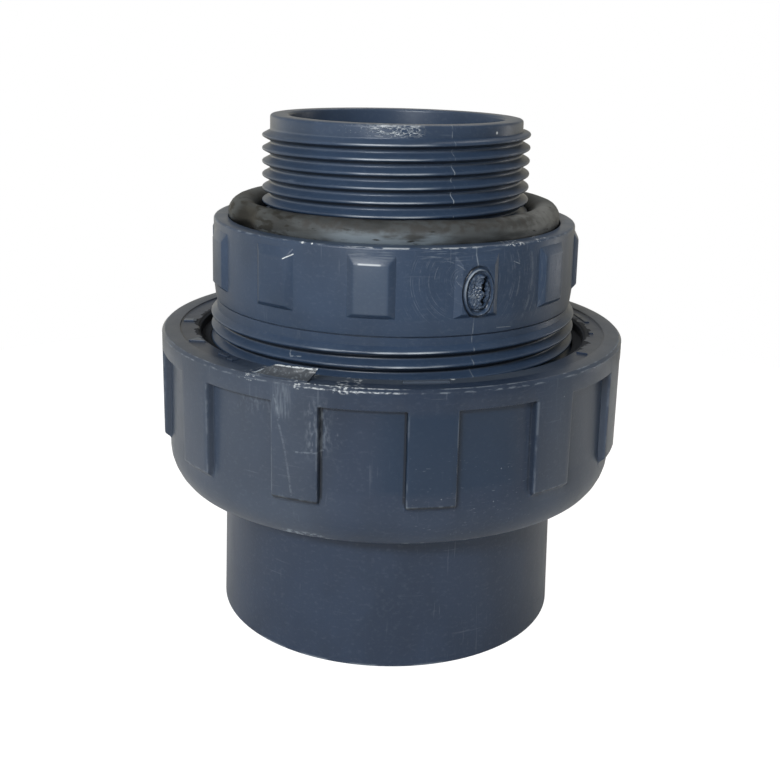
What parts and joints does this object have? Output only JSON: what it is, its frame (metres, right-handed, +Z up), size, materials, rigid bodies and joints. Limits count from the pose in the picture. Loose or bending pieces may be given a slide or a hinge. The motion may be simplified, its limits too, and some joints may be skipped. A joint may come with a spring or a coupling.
{
  "type": "pipe union",
  "caption": "Plastic pipe union with a male pipe thread and rubber ring above, a ribbed union nut in the middle and a plain solvent-weld socket below.",
  "frame": {"origin": "centre of the socket's mouth, on the rim that the union stands on", "axes": "+Z up the pipe axis from the socket towards the male thread, -Y towards the front"},
  "size_m": [0.0834, 0.0834, 0.09],
  "materials": {
    "pvc": "dark blue-grey moulded PVC-U with a satin skin",
    "rubber": "black rubber, dusty"
  },
  "bodies": {
    "tail": {"socket_end": "pvc"},
    "nut": {"union_nut": "pvc"},
    "bush": {"threaded_body": "pvc", "face_seal_ring": "rubber", "seat_seal_ring": "rubber"}
  },
  "joints": [
    {"name": "nut_turn", "type": "hinge", "parent": "tail", "child": "nut", "pos_m": [0, 0, 0.039], "axis": [0, 0, 1], "range_deg": [-1440, 0]},
    {"name": "bush_lift", "type": "slide", "parent": "tail", "child": "bush", "axis": [0, 0, 1], "range_m": [0, 0.00925]}
  ],
  "couplings": [
    {"joint": "bush_lift", "follows": "nut_turn", "m_per_rad": -0.00036749}
  ]
}
